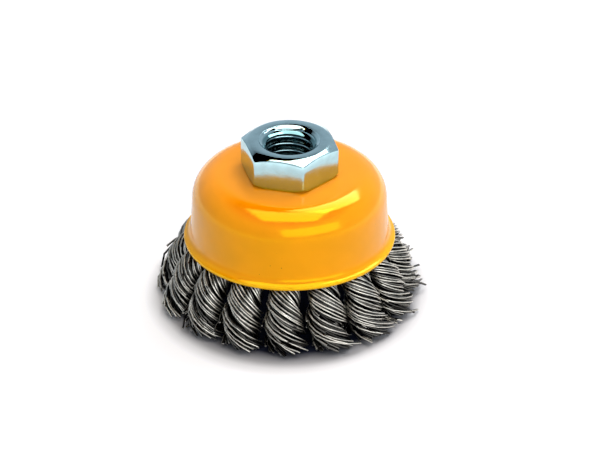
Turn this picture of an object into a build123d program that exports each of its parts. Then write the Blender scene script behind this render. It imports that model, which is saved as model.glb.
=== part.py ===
from build123d import *
import os
from math import cos, pi, radians, sin, tan

# Twist-knot wire cup brush for an angle grinder, of the 65 mm class, with an M14 nut.
# A pressed steel cup and a dished plate inside it are clamped by the nut, whose spigot passes
# through both and is swaged over below. Sixteen bundles of steel wire are each folded over the
# plate's edge, one half through a hole, and the two halves are twisted round each other.
# Millimetres, +Z up, origin on the axis in the plane of the wire tips.

# Nut
nut_across_flats = 22.0
nut_height = 8.7
nut_corner_angle = -74.0
crown_radius = 10.2
crown_slope = 26.0
foot_radius = 11.6
foot_slope = 30.0
thread_wall_radius = 5.92
mouth_radius = 7.7
lower_mouth_radius = 6.6
mouth_slope = 30.0
spigot_radius = 9.0
swage_radius = 10.0
swage_height = 1.2

# Cup, measured on its outer face
rim_radius = 27.0
wall_foot_radius = 25.2
wall_top_radius = 24.2
cup_height = 19.3
cup_sheet = 1.1
seat_radius = 13.0
top_fall = 1.5
shoulder_radius = 7.5
foot_fillet = 1.4
flange_fall = 5.0
seat_bend = 6.0

# Plate that carries the knots
plate_sheet = 1.8
plate_bend = 2.1
plate_foot_bend = 0.5
plate_land = 1.0
web_width = 2.0

# Knots: each is pinched where it passes the rim, swells to a belly below it and fans at its tip
knot_count = 16
first_knot_angle = -92.9
bundle_radius = 1.7
free_length = 15.5
root_half_depth = 3.1
root_half_width = 3.2
pinch_half_depth = 2.2
pinch_half_width = 3.3
pinch_lean = 39.0
belly_half_depth = 3.7
belly_half_width = 4.4
belly_z = 11.2
tip_half_depth = 5.2
tip_half_width = 5.3
tip_radius = 29.2
tip_sweep = 0.8
twist_pitch = 12.0
bend_run = 3.5
bend_radius = 6.0
leg_run = 1.0
leg_slant = 30.0
ridges_per_half = 4
ridge_depth = 0.1
groove_depth = 0.25
rows_per_turn = 8

# Clearances
spigot_clearance = 0.05
bundle_clearance = 0.05
shoulder_clearance = 0.15
rim_clearance = 0.15

# How far a cutter reaches past the face that it cuts
overcut = 1.0

# Levels and radii that follow from the values above
cup_top = free_length + cup_height
nut_corner_radius = nut_across_flats / 2 / cos(radians(30))
spigot_hole_radius = spigot_radius + spigot_clearance
flange_top = free_length + cup_sheet
foot_corner_z = flange_top + (rim_radius - wall_foot_radius) * tan(radians(flange_fall))
shoulder_corner_z = cup_top - (wall_top_radius - seat_radius) * tan(radians(top_fall))
cup_underside = cup_top - cup_sheet

# The wire fold sits in the cup's inner shoulder, and the plate's edge lies inside the fold
fold_radius = web_width / 2 + bundle_clearance + bundle_radius
fold_reach = fold_radius + bundle_radius + shoulder_clearance
fold_room = shoulder_radius - cup_sheet - fold_reach
fold_shift = min(fold_room, fold_room * cos(radians(45)))
fold_r = wall_top_radius - shoulder_radius + fold_shift
fold_z = shoulder_corner_z - shoulder_radius + fold_shift
hole_circle_radius = fold_r - fold_radius
hole_radius = bundle_radius + bundle_clearance
plate_edge_radius = fold_r + web_width / 2
plate_underside = fold_z - plate_sheet
body_top_z = plate_underside - leg_run

# A knot passes the rim along a slanted line that just clears the sheet's bend there
rim_bend_r = wall_foot_radius + foot_fillet
rim_bend_z = foot_corner_z + foot_fillet
pinch_offset = foot_fillet + cup_sheet + rim_clearance + pinch_half_depth
pinch_r = rim_bend_r - pinch_offset * cos(radians(pinch_lean))
pinch_z = rim_bend_z - pinch_offset * sin(radians(pinch_lean))
bend_r = pinch_r - bend_run * sin(radians(pinch_lean))
bend_z = pinch_z + bend_run * cos(radians(pinch_lean))
belly_radius = pinch_r + (pinch_z - belly_z) * tan(radians(pinch_lean))


def pressed_sheet(points, bends, thickness):
    """A round sheet part, from the upper face's section, its bend radii and its thickness."""
    face_line = FilletPolyline(*[(r, 0, z) for r, z in points], radius=bends)
    section = offset(face_line, amount=thickness, side=Side.RIGHT)
    return revolve(make_face(section), Axis.Z)


def ring_cutter(inner_r, outer_r, inner_z, outer_z, end_z):
    """The ring outside a cone from one radius and height to another, as far as end_z."""
    section = Polyline((inner_r, 0, inner_z), (outer_r, 0, outer_z), (outer_r, 0, end_z),
                       (inner_r, 0, end_z), close=True)
    return revolve(make_face(section), Axis.Z)


def hex_nut():
    """Hexagon with a crowned top, a threaded hole and a spigot that is swaged over the plate."""
    hexagon = Rot(0, 0, nut_corner_angle) * RegularPolygon(nut_corner_radius, 6)
    nut = Pos(0, 0, cup_top) * extrude(hexagon, nut_height)
    nut_top = cup_top + nut_height
    beyond = nut_corner_radius + overcut
    crown_drop = (beyond - crown_radius) * tan(radians(crown_slope))
    nut -= ring_cutter(crown_radius, beyond, nut_top, nut_top - crown_drop, nut_top + overcut)
    foot_rise = (beyond - foot_radius) * tan(radians(foot_slope))
    nut -= ring_cutter(foot_radius, beyond, cup_top, cup_top + foot_rise, cup_top - overcut)
    swage_top = cup_underside - plate_sheet
    swage_foot = swage_top - swage_height
    nut += Pos(0, 0, swage_foot) * extrude(Circle(spigot_radius), cup_top - swage_foot)
    swage = Pos(0, 0, swage_foot) * extrude(Circle(swage_radius), swage_height)
    nut += fillet(swage.edges().group_by(Axis.Z)[0], swage_height / 2)
    bore_length = nut_top - swage_foot + 2 * overcut
    bore = Pos(0, 0, swage_foot - overcut) * extrude(Circle(thread_wall_radius), bore_length)
    mouth_depth = (mouth_radius - thread_wall_radius) * tan(radians(mouth_slope))
    lower_depth = (lower_mouth_radius - thread_wall_radius) * tan(radians(mouth_slope))
    mouth = Pos(0, 0, nut_top - mouth_depth / 2) * Cone(thread_wall_radius, mouth_radius, mouth_depth)
    lower = Pos(0, 0, swage_foot + lower_depth / 2) * Cone(lower_mouth_radius, thread_wall_radius,
                                                          lower_depth)
    return nut - bore - mouth - lower


def cup():
    """Drawn sheet cup: flat seat under the nut, falling top, round shoulder, wall and rim flange."""
    points = [(spigot_hole_radius, cup_top), (seat_radius, cup_top),
              (wall_top_radius, shoulder_corner_z), (wall_foot_radius, foot_corner_z),
              (rim_radius, flange_top)]
    return pressed_sheet(points, [seat_bend, shoulder_radius, foot_fillet], cup_sheet)


def knot_plate():
    """Dished plate under the cup's top, with one hole for each knot inside its edge."""
    land_radius = hole_circle_radius - hole_radius - plate_land
    disc_radius = swage_radius + plate_bend
    points = [(spigot_hole_radius, cup_underside), (disc_radius, cup_underside),
              (land_radius, fold_z), (plate_edge_radius, fold_z)]
    plate = pressed_sheet(points, [plate_bend, plate_foot_bend], plate_sheet)
    holes = PolarLocations(hole_circle_radius, knot_count, start_angle=first_knot_angle)
    drill = Pos(0, 0, fold_z - plate_sheet / 2) * Cylinder(hole_radius, plate_sheet + 2 * overcut)
    return plate - [place * drill for place in holes]


def fold():
    """The bundle's bend over the plate's edge, with a leg on each side that slants to the other."""
    slant_z = plate_underside - bundle_radius * tan(radians(leg_slant / 2))
    run_in = leg_run + bundle_radius
    slant_shift = run_in * tan(radians(leg_slant))
    points = [(fold_r - fold_radius + slant_shift, 0, slant_z - run_in),
              (fold_r - fold_radius, 0, slant_z), (fold_r - fold_radius, 0, fold_z)]
    inner_leg = FilletPolyline(*points, radius=bundle_radius)
    outer_leg = mirror(inner_leg, Plane.YZ.offset(fold_r))
    arch = ThreePointArc(points[-1], (fold_r, 0, fold_z + fold_radius),
                         (fold_r + fold_radius, 0, fold_z))
    path = Wire(inner_leg.edges() + arch.edges() + outer_leg.edges())
    section = Plane(origin=path @ 0, z_dir=path % 0) * Circle(bundle_radius)
    return sweep(section, path=path)


def ridged_ring(centre, along, half_depth, half_width, turn):
    """Points round one section of the knot: wire ridges, and a groove between its two halves."""
    side = Vector(0, 1, 0)
    out = along.cross(side)
    steps = 4 * ridges_per_half
    ring = []
    for step in range(steps):
        angle = turn + 2 * pi * step / steps
        ridge = 1 - (ridge_depth if step % 2 == 0 else 0)
        ridge -= groove_depth if step % (2 * ridges_per_half) == 0 else 0
        reach = out * (half_depth * cos(angle)) + side * (half_width * sin(angle))
        ring.append(centre + reach * ridge)
    return ring


def closed_rings(rings):
    """A solid from rings of points: triangles between neighbours and a flat face at each end."""
    faces = [Face(Wire.make_polygon(rings[0])), Face(Wire.make_polygon(rings[-1][::-1]))]
    count = len(rings[0])
    for upper, lower in zip(rings, rings[1:]):
        for step in range(count):
            after = (step + 1) % count
            faces.append(Face(Wire.make_polygon([upper[step], lower[after], upper[after]])))
            faces.append(Face(Wire.make_polygon([upper[step], lower[step], lower[after]])))
    return Solid(Shell(faces))


def eased(z, stations):
    """The size at a height, from (height, size) stations going down, with a smooth change between."""
    upper = stations[0]
    for lower in stations[1:]:
        if z > lower[0]:
            part = (upper[0] - min(z, upper[0])) / (upper[0] - lower[0])
            return upper[1] + (lower[1] - upper[1]) * (1 - cos(pi * part)) / 2
        upper = lower
    return upper[1]


def twisted_body():
    """The two twisted halves as one ridged body, from under the plate out past the rim to the tip."""
    overrun = tip_half_depth
    tip_slope = (tip_radius - belly_radius) / belly_z
    line = FilletPolyline((fold_r, 0, body_top_z), (bend_r, 0, bend_z), (belly_radius, 0, belly_z),
                          (tip_radius + overrun * tip_slope, 0, -overrun), radius=bend_radius)
    depths = [(bend_z, root_half_depth), (pinch_z, pinch_half_depth),
              (belly_z, belly_half_depth), (0, tip_half_depth)]
    widths = [(bend_z, root_half_width), (pinch_z, pinch_half_width),
              (belly_z, belly_half_width), (0, tip_half_width)]
    sweeps = [(belly_z, 0), (0, tip_sweep)]
    rows = round(line.length / twist_pitch * rows_per_turn)
    rings = []
    for row in range(rows + 1):
        centre = line @ (row / rows)
        along = line % (row / rows)
        turn = pi / 2 + 2 * pi * row / rows_per_turn
        sideways = Vector(0, eased(centre.Z, sweeps), 0)
        rings.append(ridged_ring(centre + sideways, along, eased(centre.Z, depths),
                                 eased(centre.Z, widths), turn))
    return split(closed_rings(rings), bisect_by=Plane.XY, keep=Keep.TOP)


def knot():
    """One wire knot, in the plane of +X: folded over the plate's edge and twisted below it."""
    return twisted_body() + fold()


os.makedirs("parts", exist_ok=True)
export_step(hex_nut(), "parts/hex_nut.step")
export_step(cup(), "parts/cup.step")
export_step(knot_plate(), "parts/knot_plate.step")
one_knot = knot()
for number in range(knot_count):
    knot_angle = first_knot_angle + 360 / knot_count * number
    export_step(Rot(0, 0, knot_angle) * one_knot, f"parts/knot_{number + 1:02d}.step")
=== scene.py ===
"""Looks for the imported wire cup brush: enamelled cup, zinc-plated nut and sixteen twisted knots of wire."""

from math import cos, pi, radians, sin, tan

import bmesh
import bpy
import numpy as np
from bpy.props import FloatProperty, FloatVectorProperty, IntProperty, PointerProperty
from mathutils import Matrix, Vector


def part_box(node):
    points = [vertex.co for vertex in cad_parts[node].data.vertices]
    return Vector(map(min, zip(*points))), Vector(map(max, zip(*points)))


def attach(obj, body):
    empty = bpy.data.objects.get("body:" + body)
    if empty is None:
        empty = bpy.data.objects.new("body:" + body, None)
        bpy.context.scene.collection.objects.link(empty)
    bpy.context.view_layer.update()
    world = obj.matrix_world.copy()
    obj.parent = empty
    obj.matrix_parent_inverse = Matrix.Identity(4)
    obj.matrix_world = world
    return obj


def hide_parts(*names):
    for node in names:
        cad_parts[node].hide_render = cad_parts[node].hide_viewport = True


bl_info = {
    "name": "Wire cup brush",
    "version": (1, 0, 0),
    "blender": (4, 5, 0),
    "location": "3D View > Sidebar > Cup Brush",
    "description": "Shapes and finishes for a wire cup brush with twisted knots",
    "category": "Object",
}

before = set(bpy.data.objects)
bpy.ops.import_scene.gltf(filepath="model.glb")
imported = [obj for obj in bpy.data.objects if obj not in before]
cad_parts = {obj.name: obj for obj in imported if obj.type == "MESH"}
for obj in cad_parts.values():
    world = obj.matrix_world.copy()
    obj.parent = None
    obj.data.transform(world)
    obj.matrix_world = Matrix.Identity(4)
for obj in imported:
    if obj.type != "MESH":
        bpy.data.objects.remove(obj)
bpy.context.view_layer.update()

MM = 0.001
BODY = "root"
TONE_AND_SHADE = "wire_tone_and_shade"

MATH = "ShaderNodeMath"
MIX = "ShaderNodeMix"  # input 0 is its factor, and inputs 6 and 7 and output 2 are its colours
NOISE = "ShaderNodeTexNoise"
RANGE = "ShaderNodeMapRange"
VECTOR = "ShaderNodeVectorMath"
PLACE = "ShaderNodeTexCoord"
BUMP = "ShaderNodeBump"
SHADER = "ShaderNodeBsdfPrincipled"
OUTPUT = "ShaderNodeOutputMaterial"


def linear(code):
    """An sRGB hex colour as three linear values."""
    parts = np.array([int(code[k:k + 2], 16) for k in (0, 2, 4)]) / 255
    return tuple(np.where(parts <= 0.04045, parts / 12.92, ((parts + 0.055) / 1.055) ** 2.4))


def length(name, description, size):
    """A length property whose default is given in millimetres."""
    return FloatProperty(name=name, description=description, default=size * MM, unit="LENGTH", precision=5)


def slope(name, description, size):
    """An angle property whose default is given in degrees."""
    return FloatProperty(name=name, description=description, default=radians(size), subtype="ANGLE")


def tint(name, description, code):
    """A colour property whose default is an sRGB hex colour."""
    return FloatVectorProperty(name=name, description=description, default=linear(code),
                               subtype="COLOR", size=3, min=0, max=1)


class BrushCup(bpy.types.PropertyGroup):
    """Sizes of the drawn sheet cup, on its outer face."""
    rim: length("Rim radius", "Outer edge of the flange", 27.0)
    foot: length("Wall foot radius", "Wall where it turns into the flange", 25.2)
    top: length("Wall top radius", "Wall where it turns into the shoulder", 24.2)
    height: length("Height", "Flange underside to seat", 19.3)
    sheet: length("Sheet", "Thickness of the steel", 1.1)
    seat: length("Seat radius", "Flat ring under the nut", 13.0)
    hole: length("Hole radius", "Hole that the nut's spigot fills", 9.05)
    shoulder: length("Shoulder radius", "Bend between top and wall", 7.5)
    seat_bend: length("Seat bend", "Bend between seat and falling top", 6.0)
    foot_bend: length("Foot bend", "Bend between wall and flange", 2.2)
    top_fall: slope("Top fall", "Slope of the top", 1.5)
    flange_fall: slope("Flange fall", "Slope of the flange", 14)
    enamel: tint("Enamel", "Colour of the paint", "F89617")
    gloss: tint("Gloss", "Colour that the paint gives a reflected lamp", "F0FF0A")


class BrushNut(bpy.types.PropertyGroup):
    """Sizes of the hexagon nut and its swaged spigot."""
    across_flats: length("Across flats", "Spanner size", 22.0)
    height: length("Height", "Hexagon alone", 8.7)
    crown: length("Crown radius", "Where the flat ring ends and the crown begins", 10.2)
    foot_reach: length("Foot radius", "Where the foot chamfer begins", 11.6)
    mouth: length("Mouth radius", "Countersink at the top", 7.7)
    lower_mouth: length("Lower mouth radius", "Countersink at the foot", 6.6)
    minor: length("Minor radius", "Crest of the M14 thread", 5.92)
    major: length("Major radius", "Root of the M14 thread", 7.0)
    pitch: length("Pitch", "One turn of the thread", 2.0)
    spigot: length("Spigot radius", "Neck through cup and plate", 9.0)
    swage: length("Swage radius", "Rolled edge under the plate", 10.0)
    swage_height: length("Swage height", "Rolled edge under the plate", 1.2)
    ease: length("Eased edge", "Measure by which the edges are broken", 0.1)
    corner: slope("Corner angle", "Where one corner points", -74)
    crown_slope: slope("Crown slope", "Fall of the crown", 26)
    mouth_slope: slope("Mouth slope", "Fall of the countersinks", 30)
    foot_slope: slope("Foot slope", "Rise of the foot chamfer", 30)
    zinc: tint("Zinc", "Colour of the plating", "B4D4DA")


class BrushKnots(bpy.types.PropertyGroup):
    """Sizes of the sixteen twisted knots."""
    count: IntProperty(name="Knots", description="Knots round the cup", default=16, min=3)
    first: slope("First angle", "Where the first knot stands", -92.9)
    wire: length("Wire", "Diameter of one wire", 0.5)
    pitch: length("Pitch", "One turn of the twist", 15.5)
    twist_start: slope("Twist start", "Where the grooves between the halves begin", 48)
    bundle: length("Bundle radius", "One half of a knot before it is twisted", 1.7)
    fold_radius: length("Fold circle", "Distance of the fold's middle from the axis", 17.97)
    fold_bend: length("Fold bend", "Bend of the bundle over the plate's edge", 2.75)
    plate_sheet: length("Plate", "Thickness of the plate that the knots hang in", 1.8)
    outer_wires: IntProperty(name="Outer wires", description="Wires in the skin of a knot", default=17)
    under_wires: IntProperty(name="Under wires", description="Wires just under the skin", default=17)
    tip_wires: IntProperty(name="Tip wires", description="Wire ends inside the tip", default=60)
    steel: tint("Steel", "Colour of the wire", "F6F2E6")


class BrushStage(bpy.types.PropertyGroup):
    """Camera, floor and air."""
    elevation: slope("Elevation", "Camera above the horizon", 31.2)
    distance: length("Distance", "Camera to the middle of the brush", 800)
    aim_height: length("Aim height", "Height of the point that the camera circles", 15.5)
    right: length("Right", "Camera moved to its right", 1.63)
    up: length("Up", "Camera moved along its own up", -0.35)
    lens: FloatProperty(name="Lens", description="Focal length on a 36 mm sensor", default=191.2,
                        unit="CAMERA")
    floor_radius: length("Floor", "Radius of the floor", 2500)
    paper: tint("Paper", "Colour of the floor", "C8C8CC")
    air: tint("Air", "Light from all round", "E6F2FF")


def through(stations, place):
    """A smooth curve through rows of sizes. place counts the rows, with a fraction between two of them.
    Each span is the cubic whose slope at a row is half the step between that row's neighbours."""
    first = 2 * stations[0] - stations[1]
    last = 2 * stations[-1] - stations[-2]
    rows = np.vstack([first, stations, last])
    low = np.clip(np.floor(place).astype(int), 0, len(rows) - 4)
    part = (place - low)[..., None]
    a, b, c, d = rows[low], rows[low + 1], rows[low + 2], rows[low + 3]
    return b + part / 2 * (c - a + part * (2 * a - 5 * b + 4 * c - d + part * (3 * (b - c) + d - a)))


def unit(vectors):
    """Vectors scaled to length one along the last axis."""
    return vectors / np.maximum(np.linalg.norm(vectors, axis=-1, keepdims=True), 1e-12)


def rounded(points, bends, steps):
    """A line through points whose inner corners are arcs of the given radii.
    An arc touches both runs, so it starts at the bend radius times the tangent of half the turn."""
    points = np.array(points, float)
    line = [points[:1]]
    for before, corner, after, bend in zip(points, points[1:], points[2:], bends):
        into, away = unit(corner - before), unit(after - corner)
        turn = np.arctan2(into[0] * away[1] - into[1] * away[0], into @ away)
        side = np.array([-into[1], into[0]]) * np.sign(turn)
        start = corner - into * bend * tan(abs(turn) / 2)
        angle = np.linspace(0, abs(turn), steps)[:, None]
        line.append(start + bend * (into * np.sin(angle) + side * (1 - np.cos(angle))))
    line.append(points[-1:])
    return np.vstack(line)


def split_runs(line, longest):
    """The same line with points added so that no run is longer than the given length."""
    run = np.linalg.norm(np.diff(line, axis=0), axis=1)
    place = [np.linspace(k, k + 1, max(1, int(np.ceil(size / longest))), endpoint=False)
             for k, size in enumerate(run)]
    place = np.append(np.concatenate(place), len(line) - 1)
    whole = np.arange(len(line))
    return np.column_stack([np.interp(place, whole, line[:, k]) for k in range(line.shape[1])])


def turned_grid(radius, height, angles):
    """Points of a surface turned round Z: radius and height by row, or by row and angle."""
    radius = np.broadcast_to(np.asarray(radius, float).reshape(len(radius), -1), (len(radius), len(angles)))
    height = np.broadcast_to(np.asarray(height, float).reshape(len(height), -1), radius.shape)
    return np.stack([radius * np.cos(angles), radius * np.sin(angles), height], axis=-1)


def grid_faces(rows, columns, join_rows=False, join_columns=False):
    """Four corner numbers for each cell of a grid of points, whose ends may be joined."""
    row, column = np.meshgrid(np.arange(rows if join_rows else rows - 1),
                              np.arange(columns if join_columns else columns - 1), indexing="ij")
    row_after, column_after = (row + 1) % rows, (column + 1) % columns
    corners = [row * columns + column, row * columns + column_after,
               row_after * columns + column_after, row_after * columns + column]
    return np.stack(corners, axis=-1).reshape(-1, 4)


def new_piece(name, points, faces, material, node_names, sharp=None):
    """A smooth mesh object from points and from arrays of corner numbers, which stands for CAD nodes."""
    mesh = bpy.data.meshes.new(name)
    corners = np.concatenate([group.ravel() for group in faces]).astype(np.int32)
    widths = np.concatenate([np.full(len(group), group.shape[1]) for group in faces])
    starts = np.concatenate([[0], np.cumsum(widths)[:-1]]).astype(np.int32)
    mesh.vertices.add(len(points))
    mesh.vertices.foreach_set("co", np.asarray(points, np.float32).ravel())
    mesh.loops.add(len(corners))
    mesh.loops.foreach_set("vertex_index", corners)
    mesh.polygons.add(len(widths))
    mesh.polygons.foreach_set("loop_start", starts)
    mesh.update(calc_edges=True)
    mesh.polygons.foreach_set("use_smooth", np.ones(len(widths), bool))
    mesh.materials.append(material)
    piece = bpy.data.objects.new(name, mesh)
    bpy.context.scene.collection.objects.link(piece)
    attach(piece, BODY)
    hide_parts(*node_names)
    if sharp is not None:
        mesh.set_sharp_from_angle(angle=sharp)
    return piece


def weld(mesh, gap):
    """Joins points that lie within the gap and drops the faces that this closes up."""
    work = bmesh.new()
    work.from_mesh(mesh)
    bmesh.ops.remove_doubles(work, verts=work.verts, dist=gap)
    bmesh.ops.dissolve_degenerate(work, edges=work.edges, dist=gap)
    work.to_mesh(mesh)
    work.free()


def add_node(tree, kind, inputs=None, **settings):
    """Adds one node, sets its settings, and gives each named or numbered input a value or a link.
    A node given as a value is linked by its first output, and a colour is made opaque."""
    node = tree.nodes.new(kind)
    for name, value in settings.items():
        setattr(node, name, value)
    for name, value in (inputs or {}).items():
        socket = node.inputs[name]
        if isinstance(value, bpy.types.Node):
            value = value.outputs[0]
        if isinstance(value, bpy.types.NodeSocket):
            tree.links.new(value, socket)
        elif socket.type == "RGBA":
            socket.default_value = (*value[:3], 1)
        else:
            socket.default_value = value
    return node


def new_material(name):
    """An empty node material and its tree."""
    material = bpy.data.materials.new(name)
    material.use_nodes = True
    material.node_tree.nodes.clear()
    return material, material.node_tree


def gloss_enamel(cup):
    """Stove enamel on pressed steel: deep orange and glossy, with a fine orange peel and a few brown chips.
    The gloss is tinted, so that a lamp's reflection reads yellow. In the bend over the flange the colour
    itself is yellower, a painted highlight where the bend catches the lamps."""
    material, tree = new_material("gloss_enamel")
    place = add_node(tree, PLACE).outputs["Object"]
    peel = add_node(tree, NOISE, {"Vector": place, "Scale": 1 / (1.3 * MM), "Detail": 1.5})
    cloud = add_node(tree, NOISE, {"Vector": place, "Scale": 1 / (9 * MM), "Detail": 2.0})
    speck = add_node(tree, NOISE, {"Vector": place, "Scale": 1 / (0.55 * MM), "Detail": 1.0})
    region = add_node(tree, NOISE, {"Vector": place, "Scale": 1 / (6 * MM), "Detail": 1.0})
    height = add_node(tree, "ShaderNodeSeparateXYZ", {"Vector": place}).outputs["Z"]
    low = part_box("cup")[0].z

    speckled = add_node(tree, RANGE, {"Value": speck, "From Min": 0.77, "From Max": 0.80})
    worn = add_node(tree, RANGE, {"Value": region, "From Min": 0.56, "From Max": 0.62})
    chipped = add_node(tree, MATH, {0: speckled, 1: worn}, operation="MULTIPLY")
    cloudy = add_node(tree, RANGE, {"Value": cloud, "From Min": 0.35, "From Max": 0.65})
    # Yellower base colour on the bend over the flange: a painted highlight.
    painted_flange_highlight = add_node(tree, RANGE, {"Value": height, "From Min": low + 0.9 * MM,
                                      "From Max": low + 2.2 * MM, "To Min": 1.0, "To Max": 0.0})
    paint = add_node(tree, MIX, {0: cloudy, 6: 0.94 * np.array(cup.enamel), 7: cup.enamel},
                     data_type="RGBA").outputs[2]
    paint = add_node(tree, MIX, {0: painted_flange_highlight, 6: paint, 7: linear("FBB61A")}, data_type="RGBA").outputs[2]
    colour = add_node(tree, MIX, {0: chipped, 6: paint, 7: linear("7A4A14")}, data_type="RGBA").outputs[2]

    relief = add_node(tree, MATH, {0: chipped, 1: -2.0, 2: peel}, operation="MULTIPLY_ADD")
    bump = add_node(tree, BUMP, {"Height": relief, "Strength": 0.2, "Distance": 0.06 * MM})
    roughness = add_node(tree, RANGE, {"Value": cloud, "From Min": 0.3, "From Max": 0.7,
                                       "To Min": 0.1, "To Max": 0.17})
    shader = add_node(tree, SHADER, {"Base Color": colour, "Normal": bump, "Roughness": roughness,
                                     "Specular IOR Level": 1.0, "Specular Tint": cup.gloss})
    add_node(tree, OUTPUT, {"Surface": shader})
    return material


def zinc_plating(nut):
    """Bright zinc on forged steel, blue passivated: a cool mirror, with faint forging waves and fine pits.
    Inside the thread the colour goes to a darker teal, as painted shade in the bore."""
    material, tree = new_material("zinc_plating")
    place = add_node(tree, PLACE).outputs["Object"]
    wave = add_node(tree, NOISE, {"Vector": place, "Scale": 1 / (2.6 * MM), "Detail": 2.0})
    pits = add_node(tree, NOISE, {"Vector": place, "Scale": 1 / (0.25 * MM), "Detail": 3.0})
    flat = add_node(tree, VECTOR, {0: place, 1: (1, 1, 0)}, operation="MULTIPLY")
    reach = add_node(tree, VECTOR, {0: flat}, operation="LENGTH").outputs["Value"]

    wavy = add_node(tree, RANGE, {"Value": wave, "From Min": 0.35, "From Max": 0.65})
    clear_of_bore_shade = add_node(tree, RANGE, {"Value": reach, "From Min": nut.minor + 0.75 * MM,
                                     "From Max": nut.minor + 1.15 * MM})
    colour = add_node(tree, MIX, {0: wavy, 6: 0.9 * np.array(nut.zinc), 7: nut.zinc},
                      data_type="RGBA").outputs[2]
    # Dark teal inside the thread's reach: painted shade in the bore.
    colour = add_node(tree, MIX, {0: clear_of_bore_shade, 6: linear("6A9298"), 7: colour}, data_type="RGBA").outputs[2]

    relief = add_node(tree, MATH, {0: pits, 1: 0.12, 2: wave}, operation="MULTIPLY_ADD")
    bump = add_node(tree, BUMP, {"Height": relief, "Strength": 0.5, "Distance": 0.06 * MM})
    roughness = add_node(tree, RANGE, {"Value": pits, "From Min": 0.3, "From Max": 0.7,
                                       "To Min": 0.1, "To Max": 0.2})
    shader = add_node(tree, SHADER, {"Base Color": colour, "Normal": bump, "Metallic": 1.0,
                                     "Roughness": roughness})
    add_node(tree, OUTPUT, {"Surface": shader})
    return material


def rolled_steel():
    """Bare rolled sheet: dark grey, dull, slightly mottled by oil and scale."""
    material, tree = new_material("rolled_steel")
    place = add_node(tree, PLACE).outputs["Object"]
    scale = add_node(tree, NOISE, {"Vector": place, "Scale": 1 / (3 * MM), "Detail": 4.0})
    pits = add_node(tree, NOISE, {"Vector": place, "Scale": 1 / (0.3 * MM), "Detail": 2.0})
    mottled = add_node(tree, RANGE, {"Value": scale, "From Min": 0.35, "From Max": 0.65})
    colour = add_node(tree, MIX, {0: mottled, 6: linear("5A5856"), 7: linear("7C7975")},
                      data_type="RGBA").outputs[2]
    bump = add_node(tree, BUMP, {"Height": pits, "Strength": 0.3, "Distance": 0.03 * MM})
    roughness = add_node(tree, RANGE, {"Value": scale, "From Min": 0.3, "From Max": 0.7,
                                       "To Min": 0.4, "To Max": 0.6})
    shader = add_node(tree, SHADER, {"Base Color": colour, "Normal": bump, "Metallic": 1.0,
                                     "Roughness": roughness})
    add_node(tree, OUTPUT, {"Surface": shader})
    return material


def drawn_wire(knots):
    """Drawn carbon-steel wire: grey with a warm cast, no two wires quite alike, with a painted highlight
    along each wire.
    The tone attribute darkens single wires at random and paints shade on each wire's sides, between the
    wires, going to near black."""
    material, tree = new_material("drawn_wire")
    place = add_node(tree, PLACE).outputs["Object"]
    tone_and_shade = add_node(tree, "ShaderNodeAttribute", attribute_name=TONE_AND_SHADE).outputs["Fac"]
    soil = add_node(tree, NOISE, {"Vector": place, "Scale": 1 / (0.9 * MM), "Detail": 3.0})
    steep = add_node(tree, RANGE, {"Value": tone_and_shade, "From Min": 0.16, "From Max": 0.6})
    tone_and_shade_ramp = add_node(tree, MATH, {0: tone_and_shade, 1: steep}, operation="MULTIPLY")
    soiled = add_node(tree, RANGE, {"Value": soil, "From Min": 0.52, "From Max": 0.72, "To Max": 0.35})
    # Near black where the tone paints shade between the wires, the steel's own colour where it paints the
    # highlight on each wire's outer corner.
    colour = add_node(tree, MIX, {0: tone_and_shade_ramp, 6: linear("030307"), 7: knots.steel},
                      data_type="RGBA").outputs[2]
    colour = add_node(tree, MIX, {0: soiled, 6: colour, 7: linear("4A4038")}, data_type="RGBA").outputs[2]
    roughness = add_node(tree, RANGE, {"Value": soil, "From Min": 0.3, "From Max": 0.7,
                                       "To Min": 0.25, "To Max": 0.4})
    shader = add_node(tree, SHADER, {"Base Color": colour, "Metallic": 1.0, "Roughness": roughness})
    add_node(tree, OUTPUT, {"Surface": shader})
    return material


def cup_line(cup):
    """Closed section of the cup as (radius, height): upper face outwards, nose of the lip, lower face back.
    The upper face is straight runs and arcs, the lower one lies a sheet's thickness along its normals, and
    the nose is half an ellipse between them."""
    lip = 0.3 * cup.sheet
    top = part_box("cup")[1].z
    shoulder = top - (cup.top - cup.seat) * tan(cup.top_fall)
    flange = top - cup.height + cup.sheet
    foot = flange + (cup.rim - cup.foot) * tan(cup.flange_fall)
    corners = [(cup.hole, top), (cup.seat, top), (cup.top, shoulder), (cup.foot, foot),
               (cup.rim - lip, flange)]
    outer = rounded(corners, [cup.seat_bend, cup.shoulder, cup.foot_bend], steps=13)
    outer = split_runs(outer, longest=1.6 * MM)
    along = unit(np.gradient(outer, axis=0))
    down = np.column_stack([along[:, 1], -along[:, 0]])
    inner = outer + down * cup.sheet
    angle = np.linspace(0, pi, 9)[1:-1, None]
    middle, half = (outer[-1] + inner[-1]) / 2, (outer[-1] - inner[-1]) / 2
    nose = middle + half * np.cos(angle) + along[-1] * lip * np.sin(angle)
    return np.vstack([outer, nose, inner[::-1]])


def make_cup(cup):
    """The section of cup_line turned round the axis."""
    line = cup_line(cup)
    angles = np.linspace(0, 2 * pi, 192, endpoint=False)
    points = turned_grid(line[:, 0], line[:, 1], angles).reshape(-1, 3)
    faces = grid_faces(len(line), len(angles), join_rows=True, join_columns=True)[:, ::-1]
    new_piece("cup_shell", points, [faces], gloss_enamel(cup), ["cup"], sharp=radians(50))


def hexagon(nut, angles, sharpness=90):
    """Distance from the axis to the rounded hexagon at each angle.
    Each flat's distance is half the spanner size over a cosine, and a high power mean of the flats
    rounds the corners between them."""
    faces = nut.corner + pi / 6 + np.arange(6)[:, None] * pi / 3
    reach = np.maximum(np.cos(angles - faces), 1e-6)
    return nut.across_flats / 2 * (reach ** sharpness).sum(axis=0) ** (-1 / sharpness)


THREAD_ROWS = 8  # rows of points across one pitch
CREST_SHARE = 0.11  # half a crest, as a share of the pitch
FLANK_SHARE = 0.3  # one flank, as a share of the pitch


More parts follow.
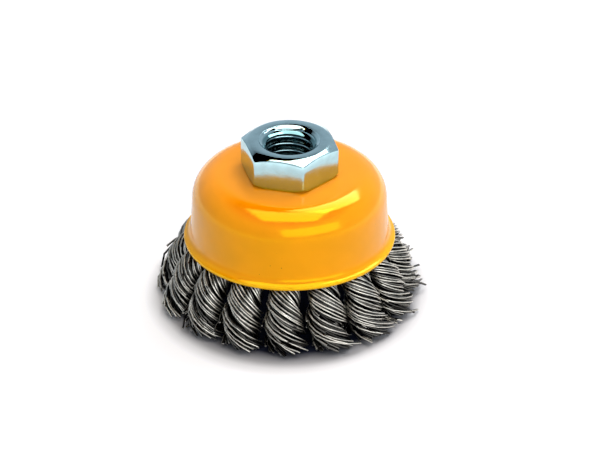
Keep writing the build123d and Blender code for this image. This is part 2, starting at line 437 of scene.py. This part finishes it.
def thread_rows(nut, turn, low, high):
    """Rows of the bore from its foot to its top: radius and height at each turn from the seam.
    A row climbs one pitch in a turn and stands an even share of a pitch above the row before, so the rows
    follow the helix. Across a pitch the wall goes straight from a flat crest out to a flat root and back.
    It fades at the foot, and a cone at each end cuts into it."""
    turns = int(np.ceil((high - low) / nut.pitch)) + 1
    row = np.arange(turns * THREAD_ROWS + 1)[:, None]
    height = low + nut.pitch * (row / THREAD_ROWS + turn / (2 * pi) - 1)
    height = np.clip(height, low, high)
    from_root = np.abs((row / THREAD_ROWS) % 1 - 0.5)
    depth = np.clip((0.5 - from_root - CREST_SHARE) / FLANK_SHARE, 0, 1)
    fade = np.clip((height - low) / (0.4 * nut.pitch), 0, 1)
    wall = nut.minor + (nut.major - nut.minor) * depth * fade
    foot_cone = nut.lower_mouth - (height - low) / tan(nut.mouth_slope)
    top_cone = nut.mouth - (high - height) / tan(nut.mouth_slope)
    return np.maximum(np.maximum(wall, foot_cone), top_cone), height


def nut_rows(nut, turn):
    """All rows of the nut, from the countersink over the crown, down the flats, under the foot, round the
    swage and up the threaded bore. Radius and height of each row are given at each turn from a corner.
    Crown and foot chamfer are cones that cut the rounded hexagon, the swage ends in a quarter circle, and
    rows close together, a few times the eased edge from it, break each sharp edge."""
    ease = nut.ease
    low, top = (end.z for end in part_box("hex_nut"))
    foot = top - nut.height
    bend = nut.swage_height / 2
    bore_top = top - 1.2 * ease
    flat = hexagon(nut, nut.corner + turn)
    flat_top = top - (flat - nut.crown) * tan(nut.crown_slope)
    flat_foot = foot + np.maximum(flat - nut.foot_reach, 0) * tan(nut.foot_slope) + 2.5 * ease
    foot_ring = np.minimum(flat, nut.foot_reach)
    rows = [(nut.mouth, bore_top), (nut.mouth + 0.5 * ease, top - 0.3 * ease),
            (nut.mouth + 1.4 * ease, top), (nut.crown, top)]
    for share in (0.33, 0.66, 0.9):
        rows.append((nut.crown + (flat - nut.crown) * share, top + (flat_top - top) * share))
    rows += [(flat - 2 * ease, flat_top + 2 * ease * tan(nut.crown_slope)),
             (flat - 0.7 * ease, flat_top - 0.4 * ease), (flat, flat_top - 2.2 * ease)]
    for share in (0.3, 0.6, 0.93):
        rows.append((flat, flat_top + (flat_foot - flat_top) * share))
    rows += [(flat, flat_foot + ease), (flat - 0.8 * ease, flat_foot - 0.4 * ease),
             (foot_ring - 2.5 * ease, foot + 2 * ease), (foot_ring - 6 * ease, foot), (nut.spigot, foot),
             (nut.spigot, low + nut.swage_height), (nut.swage, low + nut.swage_height)]
    for angle in np.linspace(0, pi / 2, 5):
        rows.append((nut.swage - bend + bend * cos(angle), low + bend - bend * sin(angle)))
    radius, height = (np.array([np.broadcast_to(size, turn.shape) for size in column])
                      for column in zip(*rows))
    bore_radius, bore_height = thread_rows(nut, turn, low, bore_top)
    return np.vstack([radius, bore_radius]), np.vstack([height, bore_height])


def make_nut(nut):
    """The rows of nut_rows as one closed skin. Between two corners of the hexagon the columns follow half
    a wave of a sine, so they crowd towards the corners. The thread's first and last columns lie on each
    other a pitch of rows apart, and the weld closes that seam."""
    across = np.linspace(-1, 1, 25)[:-1]
    within = pi / 6 * (1 + np.sin(across * pi / 2))
    turn = np.append(within + np.arange(6)[:, None] * pi / 3, 2 * pi)
    radius, height = nut_rows(nut, turn)
    points = turned_grid(radius, height, nut.corner + turn).reshape(-1, 3)
    faces = grid_faces(len(radius), len(turn), join_rows=True)[:, ::-1]
    piece = new_piece("hexagon_nut", points, [faces], zinc_plating(nut), ["hex_nut"])
    weld(piece.data, gap=0.004 * MM)
    piece.data.set_sharp_from_angle(angle=radians(38))


def knot_course():
    """Stations down a knot: distance of its middle from the axis, height, half depth and half width,
    and how far it leans sideways. Millimetres, from under the plate to past the tip."""
    return MM * np.array([
        (17.97, 25.4, 3.1, 3.1, 0.0),
        (18.9, 21.6, 3.0, 3.2, 0.0),
        (20.5, 18.0, 2.7, 3.2, 0.0),
        (23.0, 15.2, 2.35, 3.3, 0.0),
        (25.3, 12.6, 3.0, 3.85, 0.0),
        (26.9, 9.2, 3.75, 4.45, 0.0),
        (27.9, 5.2, 4.2, 4.65, 0.2),
        (28.9, 0.8, 5.1, 5.2, 0.7),
        (29.8, -3.6, 6.2, 5.8, 1.3)])


TOP_PLACE = 0.05  # station where the first wires start
TIP_PLACE = 7.2  # station where most wires end, if the floor doesn't cut them first
END_GAP = 0.3 * MM  # least height over the floor at which a wire is cut
CROWDING = 0.08  # how far wires shift towards the backs of the halves, in radians
UNEVEN = 0.25  # spread of a wire's angle, against half the angle between two wires
REACH_SPREAD = 0.03  # spread of a wire's reach, as a share of it
SHORT_PLACES = (5.0, 6.9)  # stations between which the short wires end
SHORT_SHARE = 0.3  # share of the wires that are short
SHORT_POKE = 0.28  # how far a short wire's end pokes out, as a share of its reach
POKE_FROM = 0.86  # where on the wire that begins, as a share of its length
LOOSE_PLACE = 5.2  # station from which the wires spread, the more the nearer to the tip
OUTWARD = 0.4  # mean of the spread outwards, against how far it varies
SIDEWAYS = 1.6  # spread of the angle in radians, against that of the reach as a share
STRAY_SHARE = 0.3  # share of the wires that stray
STRAY_SPREAD = 2.4  # spread of a stray against that of the others
GROOVE_DEPTH = 0.3  # depth of a groove between the halves, as a share of the reach
GROOVE_WIDTH = 0.32  # width of its bell curve, as a sine
ANGLE_WAVES = ((0.05, 1.3), (0.035, 2.9))  # how a wire wanders sideways: size and waves along it
REACH_WAVES = ((0.012, 2.1), (0.01, 4.3))  # how it swells in and out
FLOOR_GAP = 0.34 * MM  # lowest middle of a wire that keeps its corners off the floor
SHEARED_END = 0.1 * MM  # length of the bright row that ends a wire
CORNER_REACH = 0.64  # from a wire's middle to its corners in diameters: a triangle about a wire wide
# Painted light at a wire's corners: a painted highlight on the outer one, painted shade on the two that face
# the neighbouring wires.
PAINTED_CORNER_LIGHT = (1.0, 0.05, 0.05)  # light at a wire's corners, the outermost first
# A layer's light scales its wires' tones: the under layer's is lower, which is painted shade on wires deeper
# in the knot.
SKIN = {"reach": 1.0, "rows": 22, "spread": 0.12, "light": 1.0, "offset": 0.0}
UNDER = {"reach": 0.88, "rows": 20, "spread": 0.16, "light": 0.45, "offset": 0.5}
FIRST_SEED = 400


def wire_lines(knots, place, angle, reach):
    """Points of wires at places down the knot's course, with the middle of the knot beside each, for
    wires that stand at an angle and a reach in the knot's section. The section is an ellipse with two
    grooves, each a bell curve of the angle's sine, and turns once in a pitch, left-handed, so each wire
    is a helix."""
    stations = knot_course()
    dense = np.linspace(0, len(stations) - 1, 400)
    spine = through(stations, dense)[:, :2]
    along = np.concatenate([[0], np.cumsum(np.linalg.norm(np.diff(spine, axis=0), axis=1))])
    here = through(stations, place)
    step = unit(through(stations, place + 0.02)[..., :2] - through(stations, place - 0.02)[..., :2])
    turn = angle + knots.twist_start + 2 * pi * np.interp(place, dense, along) / knots.pitch
    reach = reach * (1 - GROOVE_DEPTH * np.exp(-(np.sin(angle) / GROOVE_WIDTH) ** 2))
    depth = here[..., 2] * reach * np.cos(turn)
    width = here[..., 3] * reach * np.sin(turn)
    points = np.stack([here[..., 0] - step[..., 1] * depth, here[..., 4] + width,
                       here[..., 1] + step[..., 0] * depth], axis=-1)
    hub = np.stack([here[..., 0], here[..., 4], here[..., 1]], axis=-1)
    return points, hub


def cut_at_floor(knots, angle, reach, start, end, clear):
    """Places down each wire, so that its end stands clear of the floor by the given height.
    The last place is found on a dense row of points, where the wire first comes lower."""
    dense = start[:, None] + (end - start)[:, None] * np.linspace(0, 1, 80)
    points, _ = wire_lines(knots, dense, angle[:, None], reach[:, None])
    low = points[..., 2] < clear[:, None]
    first = np.where(low.any(axis=1), low.argmax(axis=1), dense.shape[1] - 1)
    return dense[np.arange(len(dense)), first]


def tubes(knots, lines, hubs, tone_and_shade):
    """Three-sided tubes along lines: points, faces and a tone for each point, which carries painted light.
    The corners lie CORNER_REACH diameters from the line, square to it and a third of a turn apart. The
    first faces away from the hub and gets a painted highlight, and painted shade between the wires darkens
    the others. A wire that would go through the floor lies on it, and a last short row ends each wire in
    its bright sheared face, which no painted shade darkens."""
    lines[..., 2] = np.maximum(lines[..., 2], FLOOR_GAP)
    sheared = lines[:, -1:] + unit(lines[:, -1:] - lines[:, -2:-1]) * SHEARED_END
    lines = np.concatenate([lines, sheared], axis=1)
    hubs = np.concatenate([hubs, hubs[:, -1:]], axis=1)
    count, rows = lines.shape[:2]
    along = unit(np.gradient(lines, axis=1))
    out = lines - hubs
    out = unit(out - along * (out * along).sum(axis=-1, keepdims=True))
    side = np.cross(along, out)
    turn = np.arange(3) * 2 * pi / 3
    around = np.cos(turn)[:, None] * out[:, :, None] + np.sin(turn)[:, None] * side[:, :, None]
    ring = lines[:, :, None] + CORNER_REACH * knots.wire * around
    number = np.arange(count * rows * 3).reshape(count, rows, 3)
    after = np.roll(number, -1, axis=2)
    walls = np.stack([number[:, :-1], after[:, :-1], after[:, 1:], number[:, 1:]], axis=-1).reshape(-1, 4)
    ends = np.vstack([number[:, 0, ::-1], number[:, -1]])
    shade = np.tile(PAINTED_CORNER_LIGHT, (count, rows, 1))
    shade[:, -1] = 1
    return ring.reshape(-1, 3), [walls, ends], (shade * tone_and_shade[:, None, None]).ravel()


def waves(part, sizes, phases):
    """A sum of sine waves along a wire, of the given sizes and numbers of waves, each with its phase."""
    return sum(size * np.sin(2 * pi * part * often + phase) for (size, often), phase in zip(sizes, phases))


def end_heights(random, count, spread):
    """Heights over the floor at which wires are cut, most of them within the spread above the least."""
    return END_GAP + np.abs(random.normal(0, spread, count))


def wire_tones(random, count, middle, spread, least):
    """How bright each wire is, from the least to one."""
    return np.clip(random.normal(middle, spread, count), least, 1.0)


def wire_layer(knots, random, count, reach, rows, spread, light, offset):
    """One layer of wires: points, faces and tones.
    The wires stand evenly round the section, but for a sine of twice the angle that crowds them on the
    backs of the halves, and each wanders a little about its place. Some are short, and their ends poke
    out. They all spread where the tip opens, and some stray further."""
    even = (np.arange(count) + offset) / count * 2 * pi
    angle = even + CROWDING * np.sin(2 * even) + random.normal(0, UNEVEN / count * pi, count)
    reach = reach * (1 + random.normal(0, REACH_SPREAD, count))
    begin = TOP_PLACE + random.uniform(0, 0.1, count)
    clear = end_heights(random, count, spread=0.8 * MM)
    end = TIP_PLACE + random.uniform(-0.3, 0.12, count)
    short = random.random(count) < SHORT_SHARE
    end = np.where(short, random.uniform(*SHORT_PLACES, count), end)
    end = cut_at_floor(knots, angle, reach, begin, end, clear)
    part = np.linspace(0, 1, rows) ** 0.8
    place = begin[:, None] + (end - begin)[:, None] * part
    phase = random.uniform(0, 2 * pi, (4, count, 1))
    wander = waves(part, ANGLE_WAVES, phase[:2])
    swell = waves(part, REACH_WAVES, phase[2:])
    loose = np.clip((place - LOOSE_PLACE) / 2, 0, 1) ** 2
    loose = loose * spread * np.where(random.random((count, 1)) < STRAY_SHARE, STRAY_SPREAD, 1.0)
    poke = short[:, None] * np.clip((part - POKE_FROM) / (1 - POKE_FROM), 0, 1) ** 1.5
    swell = swell + loose * random.normal(OUTWARD, 1.0, (count, 1)) + SHORT_POKE * poke
    wander = wander + SIDEWAYS * loose * random.normal(0, 1.0, (count, 1))
    lines, hubs = wire_lines(knots, place, angle[:, None] + wander, reach[:, None] * (1 + swell))
    tone_and_shade = light * wire_tones(random, count, middle=0.88, spread=0.13, least=0.45)
    return tubes(knots, lines, hubs, tone_and_shade)


def tip_layer(knots, random):
    """Short wires that fill the tip, set out as a sunflower sets its seeds: the reach grows with the
    square root of the number and the angle by the golden angle. They spread at random towards their ends,
    and the painted highlight of each faces away from the brush's axis. Their tones vary at random about a
    lower middle than the layers', which is painted shade inside the tip."""
    count = knots.tip_wires
    number = np.arange(count) + 0.5
    outermost, first_place = 0.78, 5.7
    reach = outermost * np.sqrt(number / count)
    angle = number * pi * (3 - 5 ** 0.5)
    start = np.full(count, first_place)
    end = TIP_PLACE + random.uniform(-0.15, 0.1, count)
    clear = end_heights(random, count, spread=0.6 * MM)
    end = cut_at_floor(knots, angle, reach, start, end, clear)
    place = start[:, None] + (end - start)[:, None] * np.linspace(0, 1, 6)
    loose = 0.28 * np.clip((place - 6) / 1.2, 0, 1) ** 2
    swell = loose * random.normal(0.6, 1, (count, 1))
    lines, hubs = wire_lines(knots, place, angle[:, None], reach[:, None] * (1 + swell))
    hubs[..., 0] -= 2 * knots.wire
    return tubes(knots, lines, hubs, wire_tones(random, count, middle=0.5, spread=0.2, least=0.2))


def knot_core(knots):
    """The knot's core: its section inside the layers of wire, with a flute at every other column
    and a point in the middle of each end. Its nearly black tone is painted shade between the wires."""
    columns, rows = 24, 22
    # The last value, 0.06, paints the core nearly black as shade inside the knot.
    last_place, reach, flute, tone_and_shade = 6.4, 0.7, 0.03, 0.06
    angle = np.linspace(0, 2 * pi, columns, endpoint=False)
    place = np.linspace(0, last_place, rows)[:, None] * np.ones(columns)
    fluted = reach + flute * np.cos(columns / 2 * angle)
    points, hubs = wire_lines(knots, place, angle[None], fluted[None] * np.ones((rows, 1)))
    points = np.concatenate([points.reshape(-1, 3), hubs[0, :1], hubs[-1, :1]])
    walls = grid_faces(rows, columns, join_columns=True)[:, ::-1]
    around = np.arange(columns)
    after = (around + 1) % columns
    last = (rows - 1) * columns
    top_cap = np.stack([around, after, np.full(columns, rows * columns)], axis=-1)[:, ::-1]
    tip_cap = np.stack([last + around, last + after, np.full(columns, rows * columns + 1)], axis=-1)
    return points, [walls, np.vstack([top_cap, tip_cap])], np.full(len(points), tone_and_shade)


def knot_fold(knots):
    """The bundle where it is bent over the plate's edge: a ridged round section carried up one slanted
    leg, over a half circle and down the other. The ridges, at every other column, are its wires, and the
    grooves between them are darker as painted shade."""
    columns, rows = 28, 19
    # The grooves' lower tone is painted shade between the wires.
    ridge_tone, groove_shade = 0.8, 0.3
    leg, slant, gap = 2.0 * MM, radians(30), 0.3 * MM
    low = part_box("knot_plate")[0].z
    bend = np.linspace(pi, 0, rows)
    arch = np.column_stack([knots.fold_radius + knots.fold_bend * np.cos(bend),
                            low + knots.plate_sheet + knots.fold_bend * np.sin(bend)])
    foot = low - gap
    inner = np.array([(arch[0, 0] + leg * tan(slant), foot - leg),
                      (arch[0, 0] + 0.15 * leg * tan(slant), foot - 0.2 * leg),
                      (arch[0, 0], foot + 0.3 * leg)])
    outer = inner[::-1] * (-1, 1) + (2 * knots.fold_radius, 0)
    spine = np.vstack([inner, arch, outer])
    along = unit(np.gradient(spine, axis=0))
    normal = np.column_stack([-along[:, 1], along[:, 0]])
    angle = np.linspace(0, 2 * pi, columns, endpoint=False)
    ridge = knots.bundle * (1 - 0.05 * (1 + np.cos(columns / 2 * angle)))
    across = ridge * np.cos(angle)
    points = np.stack([spine[:, :1] + normal[:, :1] * across, ridge * np.sin(angle) + 0 * spine[:, :1],
                       spine[:, 1:] + normal[:, 1:] * across], axis=-1).reshape(-1, 3)
    faces = grid_faces(len(spine), columns, join_columns=True)
    ends = np.stack([np.arange(columns)[::-1], (len(spine) - 1) * columns + np.arange(columns)])
    tones_and_shade = np.where(np.arange(columns) % 2, ridge_tone, groove_shade)
    return points, [faces, ends], np.tile(tones_and_shade, len(spine))


def make_knot(knots, number, material):
    """One knot, turned to its place round the axis: two layers of whole wires, the wire ends in its tip,
    its core, painted dark as shade, and its fold. The corner numbers of each are moved past the points before
    it."""
    random = np.random.default_rng(FIRST_SEED + number)
    parts = [wire_layer(knots, random, knots.outer_wires, **SKIN),
             wire_layer(knots, random, knots.under_wires, **UNDER),
             tip_layer(knots, random), knot_core(knots), knot_fold(knots)]
    points, groups, tones_and_shade = zip(*parts)
    firsts = np.cumsum([0] + [len(part) for part in points[:-1]])
    faces = [corners + first for group, first in zip(groups, firsts) for corners in group]
    angle = knots.first + 2 * pi / knots.count * number
    turn = np.array([(cos(angle), sin(angle), 0), (-sin(angle), cos(angle), 0), (0, 0, 1)])
    piece = new_piece(f"wires_{number + 1:02d}", np.vstack(points) @ turn, faces, material,
                      [f"knot_{number + 1:02d}"])
    attribute = piece.data.attributes.new(TONE_AND_SHADE, "FLOAT", "POINT")
    attribute.data.foreach_set("value", np.concatenate(tones_and_shade).astype(np.float32))


PATCH_SHIFT = 2.6 * MM  # middle of the dark patch, in front of the brush's
PATCH_STRETCH = 1.05  # depth of the patch against its width
PATCH_EDGE = (28 * MM, 35.5 * MM)  # where it starts to fade and where it is gone
NEAR_GLOW = (33 * MM, 39 * MM, 0.42)  # where a glow starts and is whole, and its strength
FAR_GLOW = (95 * MM, 220 * MM, 0.55)


def paper_floor(stage):
    """Matt white paper that keeps the brush's shadow. A dark patch under the brush deepens the shadow that
    the lamps leave pale. Seen directly or in a reflection, the paper glows a little away from the brush,
    so that it goes to white. Both follow the distance from a point just in front of the brush's middle."""
    material, tree = new_material("white_paper")
    place = add_node(tree, PLACE).outputs["Object"]
    shifted = add_node(tree, VECTOR, {0: place, 1: (PATCH_STRETCH, 1, 1), 2: (0, PATCH_SHIFT, 0)},
                       operation="MULTIPLY_ADD")
    away = add_node(tree, VECTOR, {0: shifted}, operation="LENGTH").outputs["Value"]
    clear = add_node(tree, RANGE, {"Value": away, "From Min": PATCH_EDGE[0], "From Max": PATCH_EDGE[1]})
    paper = add_node(tree, MIX, {0: clear, 6: linear("1C2030"), 7: stage.paper}, data_type="RGBA").outputs[2]
    glows = [add_node(tree, RANGE, {"Value": away, "From Min": start, "From Max": end, "To Max": strength})
             for start, end, strength in (NEAR_GLOW, FAR_GLOW)]
    level = add_node(tree, MATH, dict(enumerate(glows)), operation="ADD")
    rays = add_node(tree, "ShaderNodeLightPath")
    seen = rays.outputs["Is Camera Ray"]
    for name in ("Is Glossy Ray", "Is Transmission Ray"):
        seen = add_node(tree, MATH, {0: seen, 1: rays.outputs[name]}, operation="MAXIMUM")
    none = add_node(tree, "ShaderNodeEmission", {"Strength": 0.0})
    glow = add_node(tree, "ShaderNodeEmission", {"Color": (1, 1, 1), "Strength": level})
    extra = add_node(tree, "ShaderNodeMixShader", {0: seen, 1: none, 2: glow})
    matt = add_node(tree, "ShaderNodeBsdfDiffuse", {"Color": paper})
    both = add_node(tree, "ShaderNodeAddShader", {0: matt, 1: extra})
    add_node(tree, OUTPUT, {"Surface": both})
    return material


def make_floor(stage):
    """A round sheet of paper under the brush, as rings of points that widen outwards as a square does."""
    radius = stage.floor_radius * np.linspace(0.002, 1, 40) ** 2
    angles = np.linspace(0, 2 * pi, 48, endpoint=False)
    points = turned_grid(radius, np.zeros(len(radius)), angles).reshape(-1, 3)
    faces = grid_faces(len(radius), len(angles), join_columns=True)
    middle = list(range(len(angles)))[::-1]
    mesh = bpy.data.meshes.new("paper")
    mesh.from_pydata(points.tolist(), [], faces.tolist() + [middle])
    mesh.materials.append(paper_floor(stage))
    floor = bpy.data.objects.new("paper", mesh)
    bpy.context.scene.collection.objects.link(floor)


LAMP_AIM = Vector((0, 0, 20 * MM))
LAMPS = (  # name, azimuth and elevation in degrees, distance and size in metres, power in watts
    ("overhead_box", 0, 84, 0.5, (0.46, 0.36), 2.7),
    ("back_box", 140, 58, 0.7, (0.4, 0.4), 3.2),
    ("front_box", 26, 24, 0.8, (1.0, 0.42), 3.5))


def add_lamp(name, azimuth, elevation, distance, size, power):
    """A softbox that looks at the brush. Azimuth 0 is the camera's side and 90 its right."""
    lamp = bpy.data.lights.new(name, "AREA")
    lamp.shape = "RECTANGLE"
    lamp.size, lamp.size_y = size
    lamp.energy = power
    azimuth, elevation = radians(azimuth), radians(elevation)
    back = Vector((sin(azimuth) * cos(elevation), -cos(azimuth) * cos(elevation), sin(elevation)))
    holder = bpy.data.objects.new(name, lamp)
    holder.location = LAMP_AIM + back * distance
    holder.rotation_mode = "QUATERNION"
    holder.rotation_quaternion = (-back).to_track_quat("-Z", "Y")
    bpy.context.scene.collection.objects.link(holder)


def make_camera(stage):
    """The camera at the photograph's angle, moved square to its view to put the brush in its place."""
    back = Vector((0, -cos(stage.elevation), sin(stage.elevation)))
    upward = Vector((0, sin(stage.elevation), cos(stage.elevation)))
    camera = bpy.data.cameras.new("camera")
    camera.lens = stage.lens
    camera.sensor_width = 36
    camera.clip_start, camera.clip_end = 0.01, 20
    holder = bpy.data.objects.new("camera", camera)
    place = Vector((0, 0, stage.aim_height)) + back * stage.distance
    holder.location = place + Vector((1, 0, 0)) * stage.right + upward * stage.up
    holder.rotation_mode = "QUATERNION"
    holder.rotation_quaternion = (-back).to_track_quat("-Z", "Y")
    bpy.context.scene.collection.objects.link(holder)
    bpy.context.scene.camera = holder


AIR_BY_RISE = ((0, 0.8), (0.3, 0.64), (0.53, 0.55), (0.72, 0.05))  # sine of the elevation, strength


def make_air(stage):
    """Pale light from all round, strongest at the horizon and nearly none from high up, where the lamps
    are, with white in its place where the camera looks past the floor."""
    world = bpy.data.worlds.new("air")
    bpy.context.scene.world = world
    world.use_nodes = True
    tree = world.node_tree
    tree.nodes.clear()
    direction = add_node(tree, PLACE).outputs["Generated"]
    rise = add_node(tree, "ShaderNodeSeparateXYZ", {"Vector": direction}).outputs["Z"]
    level = add_node(tree, "ShaderNodeFloatCurve", {"Value": rise}, label="light by rise")
    curve = level.mapping.curves[0]
    for place, value in AIR_BY_RISE[1:-1]:
        curve.points.new(place, value)
    curve.points[0].location = AIR_BY_RISE[0]
    curve.points[-1].location = AIR_BY_RISE[-1]
    level.mapping.update()
    dim = add_node(tree, "ShaderNodeBackground", {"Color": stage.air, "Strength": level})
    white = add_node(tree, "ShaderNodeBackground", {"Color": (1, 1, 1), "Strength": 1.0})
    seen = add_node(tree, "ShaderNodeLightPath").outputs["Is Camera Ray"]
    mixed = add_node(tree, "ShaderNodeMixShader", {0: seen, 1: dim, 2: white})
    add_node(tree, "ShaderNodeOutputWorld", {"Surface": mixed})


class BRUSH_OT_cup(bpy.types.Operator):
    """Make the enamelled sheet cup"""
    bl_idname = "brush.cup"
    bl_label = "Cup"

    def execute(self, context):
        make_cup(context.scene.brush_cup)
        return {"FINISHED"}


class BRUSH_OT_nut(bpy.types.Operator):
    """Make the zinc-plated hexagon nut with its thread"""
    bl_idname = "brush.nut"
    bl_label = "Nut"

    def execute(self, context):
        make_nut(context.scene.brush_nut)
        return {"FINISHED"}


class BRUSH_OT_plate(bpy.types.Operator):
    """Give the knot plate its bare steel finish"""
    bl_idname = "brush.plate"
    bl_label = "Knot plate"

    def execute(self, context):
        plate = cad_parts["knot_plate"]
        plate.data.materials.clear()
        plate.data.materials.append(rolled_steel())
        return {"FINISHED"}


class BRUSH_OT_knots(bpy.types.Operator):
    """Make the twisted knots of wire"""
    bl_idname = "brush.knots"
    bl_label = "Wire knots"

    def execute(self, context):
        knots = context.scene.brush_knots
        material = drawn_wire(knots)
        for number in range(knots.count):
            make_knot(knots, number, material)
        return {"FINISHED"}


class BRUSH_OT_stage(bpy.types.Operator):
    """Make the floor, the lamps, the air and the camera"""
    bl_idname = "brush.stage"
    bl_label = "Stage"

    def execute(self, context):
        stage = context.scene.brush_stage
        make_floor(stage)
        make_camera(stage)
        make_air(stage)
        for lamp in LAMPS:
            add_lamp(*lamp)
        context.scene.view_settings.view_transform = "Standard"
        return {"FINISHED"}


class BRUSH_PT_sidebar(bpy.types.Panel):
    """Sizes, colours and steps of the wire cup brush"""
    bl_idname = "BRUSH_PT_sidebar"
    bl_label = "Wire cup brush"
    bl_space_type = "VIEW_3D"
    bl_region_type = "UI"
    bl_category = "Cup Brush"

    def draw(self, context):
        scene = context.scene
        for group, step in ((scene.brush_cup, "brush.cup"), (scene.brush_nut, "brush.nut"),
                            (scene.brush_knots, "brush.knots"), (scene.brush_stage, "brush.stage")):
            box = self.layout.box()
            for name in group.__annotations__:
                box.prop(group, name)
            box.operator(step)
        self.layout.operator("brush.plate")


CLASSES = (BrushCup, BrushNut, BrushKnots, BrushStage, BRUSH_OT_cup, BRUSH_OT_nut, BRUSH_OT_plate,
           BRUSH_OT_knots, BRUSH_OT_stage, BRUSH_PT_sidebar)


def register():
    """Registers the classes and hangs their settings on the scene."""
    for made in CLASSES:
        bpy.utils.register_class(made)
    bpy.types.Scene.brush_cup = PointerProperty(type=BrushCup)
    bpy.types.Scene.brush_nut = PointerProperty(type=BrushNut)
    bpy.types.Scene.brush_knots = PointerProperty(type=BrushKnots)
    bpy.types.Scene.brush_stage = PointerProperty(type=BrushStage)


def unregister():
    """Takes the settings off the scene and the classes out again."""
    for name in ("brush_stage", "brush_knots", "brush_nut", "brush_cup"):
        delattr(bpy.types.Scene, name)
    for made in reversed(CLASSES):
        bpy.utils.unregister_class(made)


def main():
    """Runs each step."""
    register()
    bpy.ops.brush.stage()
    bpy.ops.brush.cup()
    bpy.ops.brush.nut()
    bpy.ops.brush.plate()
    bpy.ops.brush.knots()


if __name__ == "__main__":
    main()
